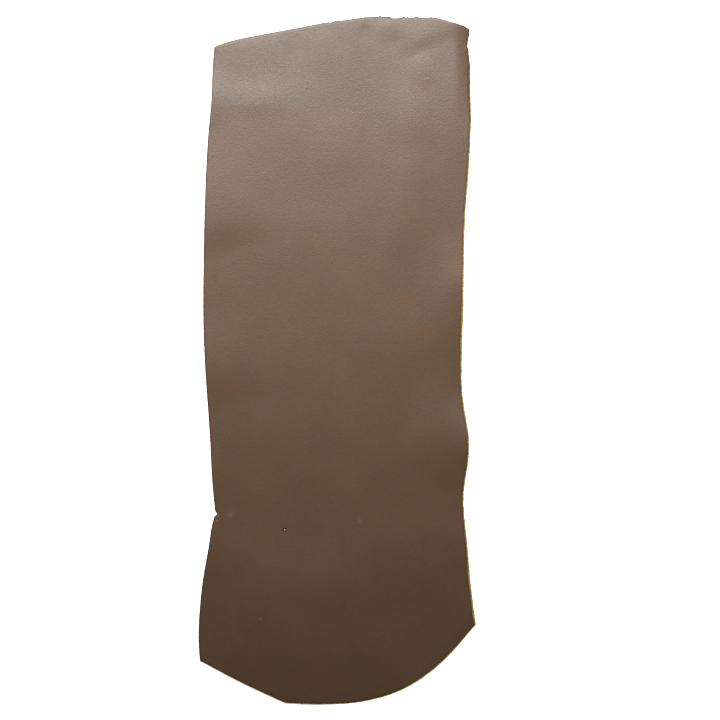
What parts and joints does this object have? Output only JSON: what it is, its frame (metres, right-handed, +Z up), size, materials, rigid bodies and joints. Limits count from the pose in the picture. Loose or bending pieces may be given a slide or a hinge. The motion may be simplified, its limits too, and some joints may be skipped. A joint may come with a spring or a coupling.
{
  "type": "leather hide",
  "caption": "Long cut piece of finished brown leather lying grain side up, with wavy sides, a slanting head end, a rounded tail end and a small tear in one side.",
  "frame": {"origin": "on the surface that the hide lies on, under the middle of its bounding box", "axes": "+Y along the hide towards the slanting head end, +X towards its right side as seen from above, +Z up, out of the grain side"},
  "size_m": [0.539, 1.337, 0.0096],
  "materials": {
    "hide_leather": "drum-dyed brown leather with a fine grain and a soft waxy sheen; raw tan cut edge and suede flesh side"
  },
  "bodies": {
    "root": {"leather_hide": "hide_leather"}
  },
  "joints": []
}
